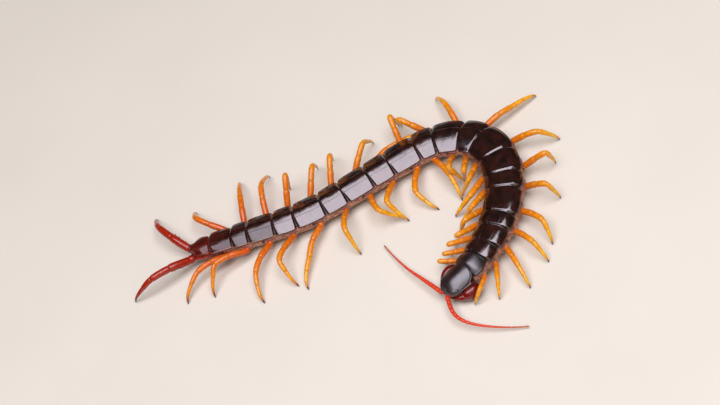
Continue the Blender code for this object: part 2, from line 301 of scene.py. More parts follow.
def plate_shell(name, dark, light, rim, shine=0.9):
    """Back plates are hard waxed chitin, nearly black. The wax gives them a mirror-like, slightly
    lilac gloss, broken by shallow dents and pits. A thin pale rim runs round each plate, and two
    faint grooves run down it, a third of the width apart."""
    m = new_material(name, IOR=1.75, Specular_IOR_Level=shine, Coat_Weight=shine / 4, Coat_Roughness=0.1,
                     Specular_Tint=to_linear("#f6ecf1"))
    spot = add(m, "TexCoord", output="Object")
    spread = add(m, "UVMap", uv_map="UVMap")
    across = add(m, "SeparateXYZ", {0: spread}, output="X")
    along = add(m, "SeparateXYZ", {0: spread}, output="Y")
    patches = add(m, "TexNoise", {"Vector": spot, "Scale": 1 / (3.5 * MM), "Detail": 4.0})
    colour = add(m, "ValToRGB", {0: patches}, stops=[(0.35, dark), (0.7, light)])
    off = add(m, "Math", {0: across, 1: 0.5}, operation="SUBTRACT")
    off = add(m, "Math", {0: off}, operation="ABSOLUTE")
    side = add(m, "MapRange", {"Value": off, 1: 0.472, 2: 0.484})
    rear = add(m, "MapRange", {"Value": along, 1: 0.035, 2: 0.015, 4: 0.2})
    edge = add(m, "Math", {0: side, 1: rear}, operation="MAXIMUM")
    colour = add(m, "Mix", {0: edge, 6: colour, 7: to_linear(rim)}, output=2, data_type="RGBA")
    groove = add(m, "Math", {0: off, 1: 0.165}, operation="SUBTRACT")
    groove = add(m, "Math", {0: groove}, operation="ABSOLUTE")
    groove = add(m, "MapRange", {"Value": groove, 1: 0.0, 2: 0.007})
    dents = add(m, "TexNoise", {"Vector": spot, "Scale": 1 / (3.2 * MM), "Detail": 0.8})
    pits = add(m, "TexVoronoi", {"Vector": spot, "Scale": 1 / (0.4 * MM)})
    pits = add(m, "MapRange", {"Value": pits, 1: 0.0, 2: 0.3})
    normal = add(m, "Bump", {"Height": dents, "Distance": 0.2 * MM, "Strength": 0.5})
    normal = add(m, "Bump", {"Height": groove, "Distance": 0.05 * MM, "Strength": 0.6, "Normal": normal})
    normal = add(m, "Bump", {"Height": pits, "Distance": 0.01 * MM, "Strength": 0.12, "Normal": normal})
    smears = add(m, "TexNoise", {"Vector": spot, "Scale": 1 / (2.2 * MM), "Detail": 2.0})
    rough = add(m, "MapRange", {"Value": smears, 1: 0.3, 2: 0.75, 3: 0.12, 4: 0.24})
    return finish(m, Base_Color=colour, Normal=normal, Roughness=rough)


def flank_skin():
    """The skin between the plates is thin leathery cuticle: mauve tan on the flanks and red at the tail.
    Up where it folds in under the back plates it turns near black, partly its own dark membrane colour
    and partly painted shade from the plates over it. It is creased lengthwise."""
    m = new_material("leathery flank cuticle", IOR=1.45, Subsurface_Weight=0.1, Subsurface_Scale=0.001)
    spot = add(m, "TexCoord", output="Object")
    height = add(m, "SeparateXYZ", {0: spot}, output="Z")
    rise = add(m, "MapRange", {"Value": height, 1: 0.0, 2: 10 * MM})
    # Darker with height: near black from under the plate edge up, partly membrane colour, partly painted shade; the
    # tail red too
    base = add(m, "ValToRGB", {0: rise}, stops=[(0.2, "#b4825c"), (0.42, "#c89478"), (0.6, "#b07c6a"),
                                               (0.67, "#5a342a"), (0.73, "#0e0d0b")])
    red = add(m, "ValToRGB", {0: rise}, stops=[(0.2, "#8a2a18"), (0.62, "#7a1a12"), (0.8, "#4a100a")])
    along = add(m, "Attribute", attribute_name="along", output="Fac")
    tail = add(m, "MapRange", {"Value": along, 1: 0.13, 2: 0.04})
    base = add(m, "Mix", {0: tail, 6: base, 7: red}, output=2, data_type="RGBA")
    spots = add(m, "TexNoise", {"Vector": spot, "Scale": 1 / (1.0 * MM), "Detail": 3.0})
    spots = add(m, "ValToRGB", {0: spots}, stops=[(0.35, "#8c7870"), (0.62, "#ffffff")])
    base = add(m, "Mix", {0: 0.75, 6: base, 7: spots}, output=2, data_type="RGBA", blend_type="MULTIPLY")
    creases = add(m, "TexNoise", {"Vector": spot, "Scale": 1 / (0.45 * MM), "Detail": 5.0, "Roughness": 0.6})
    normal = add(m, "Bump", {"Height": creases, "Distance": 0.14 * MM, "Strength": 0.7})
    rough = add(m, "MapRange", {"Value": creases, 3: 0.32, 4: 0.6})
    return finish(m, Base_Color=base, Normal=normal, Roughness=rough)


def limb_shell(name, front, tail=None, gloss=0.26, coat=0.25):
    """Limbs are thin clear chitin over pale flesh, so they glow a little and shine softly. Their
    colour runs from root to tip by the limb's own attribute, and shifts from the front pairs to
    the tail pairs by another."""
    m = new_material(name, IOR=1.54, Specular_IOR_Level=0.4, Coat_Weight=coat, Coat_Roughness=0.14,
                     Subsurface_Weight=0.15, Subsurface_Scale=0.0012)
    spot = add(m, "TexCoord", output="Object")
    along = add(m, "Attribute", attribute_name="along", output="Fac")
    places = (0.0, 0.34, 0.66, 0.84, 1.0)
    colour = add(m, "ValToRGB", {0: along}, stops=list(zip(places, front)))
    if tail:
        tailward = add(m, "Attribute", attribute_name="tailward", output="Fac")
        hind = add(m, "ValToRGB", {0: along}, stops=list(zip(places, tail)))
        colour = add(m, "Mix", {0: tailward, 6: colour, 7: hind}, output=2, data_type="RGBA")
    clouds = add(m, "TexNoise", {"Vector": spot, "Scale": 1 / (1.2 * MM), "Detail": 3.0})
    shade = add(m, "ValToRGB", {0: clouds}, stops=[(0.32, "#d2c0aa"), (0.62, "#ffffff")])
    colour = add(m, "Mix", {0: 0.5, 6: colour, 7: shade}, output=2, data_type="RGBA", blend_type="MULTIPLY")
    grit = add(m, "TexNoise", {"Vector": spot, "Scale": 1 / (0.35 * MM), "Detail": 4.0})
    normal = add(m, "Bump", {"Height": grit, "Distance": 0.05 * MM, "Strength": 0.35})
    rough = add(m, "MapRange", {"Value": clouds, 3: gloss - 0.1, 4: gloss + 0.1})
    return finish(m, Base_Color=colour, Normal=normal, Roughness=rough)


def even_chitin(name, colour, deep, roughness, size_mm=0.8, coat=0.4, lift_mm=0.04):
    """Polished chitin of one hue, mottled between two near shades, with a fine grain."""
    m = new_material(name, IOR=1.55, Coat_Weight=coat, Coat_Roughness=0.1)
    spot = add(m, "TexCoord", output="Object")
    clouds = add(m, "TexNoise", {"Vector": spot, "Scale": 1 / (size_mm * MM), "Detail": 3.0})
    base = add(m, "ValToRGB", {0: clouds}, stops=[(0.35, deep), (0.68, colour)])
    grit = add(m, "TexNoise", {"Vector": spot, "Scale": 2 / (size_mm * MM), "Detail": 4.0})
    normal = add(m, "Bump", {"Height": grit, "Distance": lift_mm * MM, "Strength": 0.4})
    rough = add(m, "MapRange", {"Value": grit, 3: roughness - 0.07, 4: roughness + 0.07})
    return finish(m, Base_Color=base, Normal=normal, Roughness=rough)


def head_chitin():
    """The head plate is the same waxed chitin as the back, but satin, so its gloss is broad and
    soft-edged. Fine pits are scattered over it."""
    m = new_material("satin head chitin", IOR=1.75, Specular_IOR_Level=0.8, Coat_Weight=0.2, Coat_Roughness=0.2,
                     Specular_Tint=to_linear("#f2eef5"))
    spot = add(m, "TexCoord", output="Object")
    clouds = add(m, "TexNoise", {"Vector": spot, "Scale": 1 / (3.0 * MM), "Detail": 3.0})
    base = add(m, "ValToRGB", {0: clouds}, stops=[(0.35, "#140b0b"), (0.7, "#2c1213")])
    dents = add(m, "TexNoise", {"Vector": spot, "Scale": 1 / (2.0 * MM), "Detail": 1.0})
    pits = add(m, "TexVoronoi", {"Vector": spot, "Scale": 1 / (0.45 * MM)})
    pits = add(m, "MapRange", {"Value": pits, 1: 0.0, 2: 0.35})
    normal = add(m, "Bump", {"Height": dents, "Distance": 0.12 * MM, "Strength": 0.4})
    normal = add(m, "Bump", {"Height": pits, "Distance": 0.01 * MM, "Strength": 0.35, "Normal": normal})
    rough = add(m, "MapRange", {"Value": clouds, 3: 0.32, 4: 0.46})
    return finish(m, Base_Color=base, Normal=normal, Roughness=rough)


def pale_floor():
    """Smooth matt plaster, pale and slightly warm, with a very faint cloudiness."""
    m = new_material("matt plaster floor", Roughness=0.9, Specular_IOR_Level=0.1)
    spot = add(m, "TexCoord", output="Object")
    clouds = add(m, "TexNoise", {"Vector": spot, "Scale": 1 / (60 * MM), "Detail": 3.0})
    return finish(m, Base_Color=add(m, "ValToRGB", {0: clouds}, stops=[(0.3, "#dcd6ca"), (0.7, "#e0dace")]))


# Modelling

def pick(*things):
    """Select these objects and nothing else; the first is the active one."""
    bpy.ops.object.select_all(action="DESELECT")
    for thing in things:
        thing.select_set(True)
    bpy.context.view_layer.objects.active = things[0]


def apply(piece, kind, **settings):
    """Add one modifier and apply it."""
    modifier = piece.modifiers.new(kind.title(), kind)
    for name, value in settings.items():
        setattr(modifier, name, value)
    pick(piece)
    bpy.ops.object.modifier_apply(modifier=modifier.name)


def tidy_normals(piece, merge_mm=0.001):
    """Weld doubled points, close open ends and turn every face outwards."""
    pick(piece)
    bpy.ops.object.mode_set(mode="EDIT")
    bpy.ops.mesh.select_all(action="SELECT")
    bpy.ops.mesh.remove_doubles(threshold=merge_mm * MM)
    bpy.ops.mesh.fill_holes(sides=0)
    bpy.ops.mesh.select_all(action="SELECT")
    bpy.ops.mesh.normals_make_consistent(inside=False)
    bpy.ops.object.mode_set(mode="OBJECT")


def keep(piece, name, slot, *materials, replaces=(), sharp=40):
    """Name a finished piece, give it its materials and let it ride on the body."""
    piece.name = name
    piece.data.name = name
    if materials:
        piece.data.materials.clear()
        for material in materials:
            piece.data.materials.append(material)
    pick(piece)
    bpy.ops.object.transform_apply(location=True, rotation=True, scale=True)
    bpy.ops.object.shade_smooth_by_angle(angle=math.radians(sharp))
    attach(piece, BODY)
    if replaces:
        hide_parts(*replaces)
    return piece


def grid_piece(rows, columns, shape):
    """A grid whose points are put in place by shape(part along, part across from -1 to 1)."""
    bpy.ops.mesh.primitive_grid_add(x_subdivisions=columns, y_subdivisions=rows, size=2)
    piece = bpy.context.object
    set_along(piece.data, lambda vertex: (vertex.co.y + 1) / 2)
    for vertex in piece.data.vertices:
        vertex.co = shape((vertex.co.y + 1) / 2, vertex.co.x) * MM
    return piece


def turned(profile, sides=14):
    """A closed round shape of unit length and width, grown ring by ring from
    (place along Z, radius) pairs."""
    start, radius = profile[0]
    bpy.ops.mesh.primitive_circle_add(vertices=sides, radius=radius, fill_type="NGON", location=(0, 0, start))
    piece = bpy.context.object
    bpy.ops.object.mode_set(mode="EDIT")
    bpy.ops.mesh.select_all(action="SELECT")
    for (before, radius_before), (after, radius) in zip(profile, profile[1:]):
        bpy.ops.mesh.extrude_region_move(TRANSFORM_OT_translate={"value": (0, 0, after - before)})
        ratio = radius / radius_before
        bpy.ops.transform.resize(value=(ratio, ratio, 1), center_override=(0, 0, after))
    bpy.ops.mesh.select_all(action="SELECT")
    bpy.ops.mesh.normals_make_consistent(inside=False)
    bpy.ops.object.mode_set(mode="OBJECT")
    pick(piece)
    bpy.ops.object.transform_apply(location=True, rotation=False, scale=False)
    return piece


def set_along(mesh, value_of, name="along"):
    """Store a number on each point, for a material to read."""
    store = mesh.attributes.get(name) or mesh.attributes.new(name, "FLOAT", "POINT")
    for vertex in mesh.vertices:
        store.data[vertex.index].value = value_of(vertex)


def limb_slopes(joints):
    """The way a smooth line through a limb's joints runs at each of them."""
    steps = [after - before for before, after in zip(joints, joints[1:])]
    slopes = [steps[0].normalized()]
    for before, after in zip(steps, steps[1:]):
        near, far = before.length, after.length
        slopes.append((before.normalized() * near + after.normalized() * far) / (near + far))
    slopes.append(steps[-1].normalized())
    return slopes


def limb_point(joints, slopes, at):
    """A point of that line and its direction there; at counts joints from the root."""
    i = min(max(int(at), 0), len(joints) - 2)
    t = at - i
    a, b = joints[i], joints[i + 1]
    span = (b - a).length
    point = (a * (2 * t ** 3 - 3 * t * t + 1) + b * (3 * t * t - 2 * t ** 3)
             + (slopes[i] * (t ** 3 - 2 * t * t + t) + slopes[i + 1] * (t ** 3 - t * t)) * span)
    way = ((b - a) * (6 * t - 6 * t * t)
           + (slopes[i] * (3 * t * t - 4 * t + 1) + slopes[i + 1] * (3 * t * t - 2 * t)) * span)
    return point, way.normalized()


def limb_normal(joints):
    """The direction square to the plane that a limb bends in."""
    chord = joints[-1] - joints[0]
    normal = (joints[len(joints) // 2] - joints[0]).cross(chord)
    return (normal if normal.length > 0.05 else chord.cross(Vector((0, 0, 1)))).normalized()


def fit_along(pattern, joints, radii, first, last, tailward=0.0, depth=1.0):
    """A copy of a turned pattern, bent along a limb between two places counted in joints, and
    tapered with the limb. Its depth, against its width, is measured square to the limb's bend."""
    copy = bpy.data.objects.new(pattern.name, pattern.data.copy())
    bpy.context.scene.collection.objects.link(copy)
    mesh = copy.data
    slopes = limb_slopes(joints)
    normal = limb_normal(joints)
    count = len(joints) - 1
    set_along(mesh, lambda vertex: min(max((first + (last - first) * vertex.co.z) / count, 0), 1))
    set_along(mesh, lambda vertex: tailward, "tailward")
    for vertex in mesh.vertices:
        at = first + (last - first) * vertex.co.z
        point, way = limb_point(joints, slopes, at)
        i = min(max(int(at), 0), count - 1)
        share = min(max(at - i, 0), 1)
        radius = radii[i] + (radii[i + 1] - radii[i]) * share
        across = (normal - way * normal.dot(way)).normalized()
        inward = across.cross(way)
        vertex.co = (point + across * (vertex.co.x * radius * depth) + inward * (vertex.co.y * radius)) * MM
    return copy


def join(pieces):
    pick(*pieces)
    bpy.ops.object.join()
    return bpy.context.object


def pebble(centre, size, turn, squareness=2.4, taper=0.0, slope=0.0, segments=16, rings=10):
    """A ball worked into a smooth lump with squarish outlines, narrower and lower ahead.

    The centre and the three radii are in millimetres, and turn is its way ahead.
    """
    bpy.ops.mesh.primitive_uv_sphere_add(segments=segments, ring_count=rings, radius=1)
    lump = bpy.context.object
    ahead = Vector((math.cos(turn), math.sin(turn), 0))
    left = Vector((-ahead.y, ahead.x, 0))
    for vertex in lump.data.vertices:
        on, out, up = vertex.co
        flat = math.hypot(on, out)
        if flat > 1e-6:
            stretch = flat / (abs(on) ** squareness + abs(out) ** squareness) ** (1 / squareness)
            on, out = on * stretch, out * stretch
        slim = 1 - taper * (on + 1) / 2
        point = ahead * (on * size[0]) + left * (out * size[1] * slim)
        vertex.co = (centre + point + Vector((0, 0, up * size[2] * slim - slope * on))) * MM
    return lump


# The trunk

def plate_width(plate, part):
    """A back plate's width at one part of its length, against its widest."""
    rear_span, rear_loss = {1: FIRST_REAR_ROUND, PLATES: LAST_REAR_ROUND}.get(plate, REAR_ROUND)
    front_span, front_loss = FIRST_FRONT_ROUND if plate == 1 else FRONT_ROUND
    rear = round_off(part / rear_span)
    front = max(0.0, 1 - (1 - part) / front_span) ** 2.2
    barrel = PLATE_BARREL * (math.sin(math.pi * min(max(part, 0.0), 1.0)) - 1)
    return 1 + barrel - rear_loss * rear - front_loss * front


def roof(plate, side):
    """The height of the back at one part of its half width."""
    rise = ease(BACK_HEIGHT, plate) - PLATE_EDGE
    return PLATE_EDGE + rise * (1 - abs(side) ** ease(ROOF_POWERS, plate))


def plate_point(plate, part, across):
    """A point on top of a back plate: part runs from its rear edge to its front edge."""
    rear = plate_rear(plate) + PLATE_GAP_REAR
    front = plate_rear(plate - 1) - PLATE_GAP_FRONT
    if plate == PLATES:
        rear += LAST_REAR_SHORT
    if plate == 1:
        front += FIRST_REACH
    side = abs(across)
    half = ease(PLATE_WIDTHS, plate) / 2 * plate_width(plate, part)
    bow = (1.0 if plate == PLATES else 0.4) * (1 - side * side) * max(0.0, 1 - part / 0.35)
    station = rear + (front - rear) * part - bow
    rise = roof(plate, side) - PLATE_EDGE
    if plate == 1:
        rise *= 1 - FIRST_DIP * smooth_step(0.6, 1.05, part)
    margin = PLATE_FRONT_MARGIN / PLATE_LENGTHS[plate - 1]
    drop = PLATE_FRONT_DROP * smooth_step(1 - margin, 1.0, part) + PLATE_REAR_CURL * smooth_step(0.06, 0.0, part)
    crown = PLATE_CROWN * math.sin(math.pi * part) * (2.6 if plate in (1, PLATES) else 1)
    rim = 0.04 * math.exp(-((side - 0.965) / 0.02) ** 2) - 0.04 * math.exp(-((side - 0.915) / 0.025) ** 2)
    tuck = 0.12 * smooth_step(0.97, 1.0, side)
    return place(station, -across * half, PLATE_EDGE + rise - drop + crown + rim - tuck)


def back_plates(shells):
    rows, columns = PLATE_GRID
    for plate in range(1, PLATES + 1):
        piece = grid_piece(rows, columns, lambda part, across: plate_point(plate, part, across))
        apply(piece, "SOLIDIFY", thickness=PLATE_THICKNESS * MM, offset=-1)
        shell = shells[{1: "satin", PLATES: "red", PLATES - 1: "maroon"}.get(plate, "edged" if plate > 17 else "dark")]
        keep(piece, f"back_plate_{plate:02d}", "back_plates", shell, sharp=50)


def belly_plates(shell):
    for plate in range(1, PLATES + 1):
        length = PLATE_LENGTHS[plate - 1]
        rear = plate_rear(plate)
        half = ease(PLATE_WIDTHS, plate) / 2 * 0.6

        def point(part, across):
            width = 1 - 0.14 * abs(2 * part - 1) ** 3
            dish = 0.16 * abs(across) ** 3 + 0.12 * abs(2 * part - 1) ** 4
            return place(rear + length * (0.03 + 0.94 * part), across * half * width, BELLY - 0.1 + dish)

        piece = grid_piece(14, 20, point)
        apply(piece, "SOLIDIFY", thickness=0.2 * MM, offset=-1)
        keep(piece, f"belly_plate_{plate:02d}", "belly_plates", shell, sharp=50)


def leg_station(plate):
    return plate_rear(plate) + LEG_ROOT_AT * PLATE_LENGTHS[plate - 1]


def skin_point(part, across):
    """A point on the soft skin: part runs from tail to head, across once round the body."""
    station = -0.6 + part * (BODY_LENGTH + 1.6)
    plate, on_plate = plate_at(station)
    round_half = abs(across)
    half = ease(PLATE_WIDTHS, plate + 0.5 - on_plate) / 2
    between = 0.5 + 0.5 * math.cos(2 * math.pi * on_plate)
    end = 1 - SKIN_TAIL_ROUND[1] * round_off(part / SKIN_TAIL_ROUND[0]) - 0.12 * smooth_step(0.985, 1.0, part)
    share = ease(SKIN_OUT, round_half) * end
    out = share * half * SKIN_WIDTH * (1 - 0.045 * between)
    under_plate = roof(plate, share * SKIN_WIDTH) - SKIN_BELOW_BACK - (1.3 * smooth_step(0.97, 1.0, part))
    height = under_plate + (ease(SKIN_HEIGHTS, round_half) - under_plate) * smooth_step(0.38, 0.5, round_half)
    flank = smooth_step(0.46, 0.56, round_half) * smooth_step(0.86, 0.74, round_half)
    fold = FOLD_DEPTH * math.sin(2 * math.pi * (height - 0.35 * math.sin(2 * math.pi * on_plate)) / 1.15)
    spread = 0.0
    for near in {plate, min(plate + 1, PLATES), max(plate - 1, 1)}:
        if near < PLATES:
            spread += math.exp(-((station - leg_station(near)) / 1.6) ** 2)
    bulge = SOCKET_BULGE * spread * math.exp(-((height - LEG_ROOT_HEIGHT + 0.1) / 1.2) ** 2)
    side = math.copysign(1, across)
    lumps = 0.16 * noise.noise(Vector((station * 0.8, height * 0.9, 3.0 + 5 * side)))
    out += flank * (fold + bulge + lumps)
    return place(station, -side * out, height)


def soft_skin(material):
    rows, columns = SKIN_GRID
    piece = grid_piece(rows, columns, skin_point)
    tidy_normals(piece)
    trunk = [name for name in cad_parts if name.startswith("trunk")]
    return keep(piece, "soft_skin", "flank_skin", material, replaces=trunk, sharp=70)


def side_plates(shell, dark):
    """Small hard plates set in the flank round each leg's root, and the breathing holes."""
    for side, sign in (("left", 1), ("right", -1)):
        scales = []
        holes = []
        for plate in range(1, PLATES):
            station = leg_station(plate)
            ahead, _ = directions(station)
            turn = math.atan2(ahead.y, ahead.x)
            half = ease(PLATE_WIDTHS, plate) / 2 * SKIN_WIDTH
            lumps = ((1.7, 4.7, 0.16, (0.9, 0.26, 0.55)), (-1.7, 4.5, 0.12, (0.85, 0.26, 0.6)),
                     (0.1, 5.85, 0.0, (1.5, 0.24, 0.3)))
            for on, height, out, size in lumps:
                scales.append(pebble(place(station + on, sign * (half + out), height), size, turn, 3.0, 0.2))
            if plate in BREATHING:
                centre = place(station - 1.9, sign * (half + 0.04), 5.6)
                bpy.ops.mesh.primitive_torus_add(major_segments=20, minor_segments=8,
                                                 major_radius=0.52 * MM, minor_radius=0.13 * MM)
                rim = bpy.context.object
                upright = Matrix.Rotation(turn, 4, "Z") @ Matrix.Rotation(math.pi / 2, 4, "X")
                rim.data.transform(Matrix.Translation(centre * MM) @ upright @ Matrix.Diagonal((1, 0.6, 1, 1)))
                holes.append(rim)
                holes.append(pebble(centre, (0.46, 0.1, 0.26), turn, 2.0, 0.5))
        keep(join(scales), f"side_plates_{side}", "belly_plates", shell)
        keep(join(holes), f"breathing_holes_{side}", "back_plates", dark)


def tail_lobes(shell):
    """The swollen hip plates of the last segment, each ending in a short point."""
    for side, sign in (("left", 1), ("right", -1)):
        ahead, _ = directions(3.0)
        turn = math.atan2(-ahead.y, -ahead.x)
        lobe = pebble(place(3.6, sign * 3.0, 4.9), (4.1, 1.5, 1.9), turn, 2.3, 0.35, 0.15, 28, 18)
        point = pebble(place(-0.3, sign * 3.1, 4.9), (0.9, 0.32, 0.32), turn, 2.0, 0.85)
        keep(join([lobe, point]), f"tail_lobe_{side}", "last_legs", shell, sharp=60)


# Limbs

def bend_leg(root, run, foot, length, share, ahead, turn):
    """A leg's joints: two straight halves that meet at the knee, and a level foot.

    The knee lies straight above the line from root to foot, turned forwards about it.
    """
    hip = root + run
    ankle = foot + Vector((0, 0, FOOT_RISE))
    upper = share * length
    lower = (1 - share) * length
    span = ankle - hip
    reach = min(span.length, 0.985 * length)
    along = span.normalized()
    to_knee = (upper ** 2 - lower ** 2 + reach ** 2) / (2 * reach)
    rise = math.sqrt(max(upper ** 2 - to_knee ** 2, 0.0))
    upward = (Vector((0, 0, 1)) - along * along.z).normalized()
    forward = along.cross(Vector((0, 0, 1))).normalized()
    if forward.dot(ahead) < 0:
        forward.negate()
    out = upward * math.cos(math.radians(turn)) + forward * math.sin(math.radians(turn))
    knee = hip + along * (to_knee * span.length / reach) + out * rise
    thigh = hip.lerp(knee, 0.5) + out * (LEG_SWELL * upper)
    shin = knee.lerp(ankle, 0.45) + out * (LEG_SWELL * lower)
    toe = knee.lerp(ankle, 0.8) + out * (LEG_SWELL * lower)
    claw_root = toe.lerp(ankle, CLAW_STARTS)
    claw_tip = foot + Vector((0, 0, CLAW_TIP_HEIGHT))
    return [root, hip, thigh, knee, shin, toe, claw_root, claw_tip]


def walking_joints(plate, side):
    sign = 1 if side == "left" else -1
    out, on, turn = (LEFT_FEET if side == "left" else RIGHT_FEET)[plate - 1]
    station = leg_station(plate)
    ahead, left = directions(station)
    flank = ease(PLATE_WIDTHS, plate) / 2 * LEG_FLANK + LEG_ROOT_GAP
    root = place(station, sign * flank, LEG_ROOT_HEIGHT)
    run = left * (sign * LEG_ROOT_RUN)
    hip = root + run
    foot = Vector((hip.x, hip.y, 0)) + left * (sign * out) + ahead * on
    return bend_leg(root, run, foot, ease(LEG_LENGTHS, plate), UPPER_SHARE, ahead, turn)


def last_joints(side):
    sign = 1 if side == "left" else -1
    behind, out, turn = LAST_FEET[side]
    ahead, left = directions(0.0)
    root = place(0.0, sign * LAST_LEG_ROOT[1], LAST_LEG_ROOT[2], -LAST_LEG_ROOT[0])
    foot = place(0.0, sign * out, 0.0, -behind)
    run = (left * sign * 0.3 - ahead) * LEG_ROOT_RUN
    return bend_leg(root, run, foot, LAST_LEG_LENGTH, LAST_UPPER_SHARE, ahead, turn)


def limb_patterns():
    """The turned shapes that every limb is put together from, modelled once."""
    hip = turned([(-0.9, 0.8), (-0.4, 0.95), (0.3, 1.03), (0.8, 1.02), (1.02, 0.9), (1.08, 0.7)])
    long = turned([(-0.03, 0.6), (0.0, 0.84), (0.04, 0.92), (0.12, 0.96), (0.27, 0.98), (0.4, 1.0), (0.55, 1.02),
                   (0.7, 1.04), (0.83, 1.05), (0.92, 1.03), (0.975, 0.98), (1.0, 0.86), (1.02, 0.6)])
    knuckle = turned([(0.0, 0.3), (0.18, 0.75), (0.5, 0.88), (0.82, 0.75), (1.0, 0.3)], 12)
    claw = turned([(-0.3, 0.8), (0.0, 0.96), (0.2, 0.92), (0.45, 0.78), (0.7, 0.55), (0.9, 0.32), (1.0, 0.14)], 12)
    spine = turned([(0.0, 1.0), (0.3, 0.8), (0.7, 0.42), (1.0, 0.06)], 8)
    bead = turned([(-0.02, 0.6), (0.03, 0.84), (0.12, 0.95), (0.5, 1.0), (0.85, 0.98), (0.96, 0.86), (1.0, 0.65)], 12)
    return {"hip": hip, "long": long, "knuckle": knuckle, "claw": claw, "spine": spine, "bead": bead}


def one_leg(name, joints, radii, patterns, looks, slot, tailward, replaces):
    """The articles of one leg, the soft skin at its joints, and its claw."""
    count = len(joints) - 2
    shells = []
    for i in range(count):
        shells.append(fit_along(patterns["long" if i else "hip"], joints, radii, i, i + 1, tailward))
    for part in shells:
        part.data.materials.append(looks["shell"])
    knuckles = []
    for i in range(1, count + 1):
        back = 0.75 * radii[i] / (joints[i] - joints[i - 1]).length
        fore = 0.75 * radii[i] / (joints[i + 1] - joints[i]).length
        knuckles.append(fit_along(patterns["knuckle"], joints, radii, i - min(back, 0.6), i + min(fore, 0.6), tailward))
    for part in knuckles:
        part.data.materials.append(looks["joint"])
    keep(join(shells + knuckles), name, slot, replaces=replaces, sharp=50)
    claw = fit_along(patterns["claw"], joints, radii, count, count + 1)
    keep(claw, name.replace("shell", "claw"), "leg_claws", looks["claw"], sharp=50)


def hip_spines(side, joints, radii, patterns, material):
    """The short thorns on the inner side of a last leg's first long article."""
    sign = 1 if side == "left" else -1
    slopes = limb_slopes(joints)
    thorns = []
    for at, roll in ((1.35, -0.1), (1.65, 0.3), (1.93, 0.1), (1.5, -0.6), (1.85, -0.9)):
        centre, way = limb_point(joints, slopes, at)
        inward = way.cross(Vector((0, 0, 1))).normalized() * sign
        out = inward * math.cos(roll) + Vector((0, 0, 1)) * math.sin(roll)
        foot = centre + out * (0.94 * radii[1])
        tip = foot + out * 0.4 + way * 0.2
        thorns.append(fit_along(patterns["spine"], [foot, tip], [0.22, 0.22], 0, 1))
    keep(join(thorns), f"last_leg_{side}_thorns", "leg_claws", material, sharp=60)


def legs(patterns, looks):
    for side in ("left", "right"):
        for plate in range(1, PLATES):
            name = f"leg_{side}_{plate:02d}"
            tailward = smooth_step(14, 20.5, plate)
            radii = [radius * ease(LEG_SLIMNESS, plate) for radius in LEG_RADII]
            one_leg(name + "_shell", walking_joints(plate, side), radii, patterns, looks["walking"],
                    "legs", tailward, (name,))
        name = f"last_leg_{side}"
        joints = last_joints(side)
        one_leg(name + "_shell", joints, LAST_LEG_RADII, patterns, looks["last"], "last_legs", 1.0, (name,))
        hip_spines(side, joints, LAST_LEG_RADII, patterns, looks["last"]["claw"])


def antenna_line(side):
    """Points a quarter of a millimetre apart along one antenna."""
    sign = 1 if side == "left" else -1
    on, out, height = ANTENNA_ROOT
    point = head_place(on, sign * out, height)
    ahead, _ = head_directions()
    own_line = math.atan2(ahead.y, ahead.x)
    points = [point]
    steps = round(ANTENNA_LENGTH / LINE_STEP)
    for i in range(1, steps + 1):
        heading = own_line + sign * math.radians(ease(ANTENNA_TURNS[side], (i - 0.5) * LINE_STEP))
        point = points[-1] + Vector((math.cos(heading), math.sin(heading), 0)) * LINE_STEP
        point.z = ease(ANTENNA_HEIGHTS, i * LINE_STEP)
        points.append(point)
    return points


def antennae(patterns, cuticle):
    for side in ("left", "right"):
        line = antenna_line(side)
        ahead, _ = head_directions()
        cuts = [round((i / ANTENNA_ARTICLES) ** 1.08 * (len(line) - 1)) for i in range(ANTENNA_ARTICLES + 1)]
        joints = [line[0] - ahead * 1.3] + [line[cut] for cut in cuts]
        radii = [ANTENNA_RADII[0][1]] + [ease(ANTENNA_RADII, cut * LINE_STEP) for cut in cuts]
        beads = [fit_along(patterns["bead"], joints, radii, i, i + 1) for i in range(len(joints) - 1)]
        keep(join(beads), f"antenna_{side}_beads", "antennae", cuticle, replaces=(f"antenna_{side}",), sharp=50)


# The head

def head_shape(on, out, up):
    """A broad ridged plate, squarish behind and rounded in front. Its rear edge stands up over
    the first back plate, and its front dips towards the antennae."""
    length, width, height = HEAD_SIZE
    reach = math.hypot(on, out)
    squareness = 2.8 if on < 0 else 2.1
    if reach > 1e-6:
        stretch = reach / (abs(on) ** squareness + abs(out) ** squareness) ** (1 / squareness)
        on, out = on * stretch, out * stretch
    side = min(abs(out), 1.0)
    top = (height - HEAD_UNDERSIDE) * (1 - (1 - HEAD_SIDE_RISE) * side ** HEAD_ROOF_POWER)
    top *= 1 - 0.1 * min(on, 0.0) ** 2 - max(min(on, 1.0), 0.0) ** 2.3
    edge = 0.86 * top * smooth_step(-0.1, -0.75, on)
    if up >= 0:
        rise = top + (edge - top) * smooth_step(0.955, 1.0, reach)
    else:
        rise = edge * smooth_step(0.5, 0.05, -up) + HEAD_UNDERSIDE * up
        tuck = 1 - HEAD_TUCK * smooth_step(0.02, 0.4, -up)
        on, out = on * tuck, out * tuck
    flange = 1 + 0.02 * math.exp(-(up / 0.1) ** 2)
    notch = 0.05 * math.exp(-(out / 0.16) ** 2) * smooth_step(0.7, 1.0, on)
    longer = length + HEAD_OVERLAP
    return (on * flange - notch) * longer / 2 - HEAD_OVERLAP / 2, out * flange * width / 2, rise - 0.4 * on


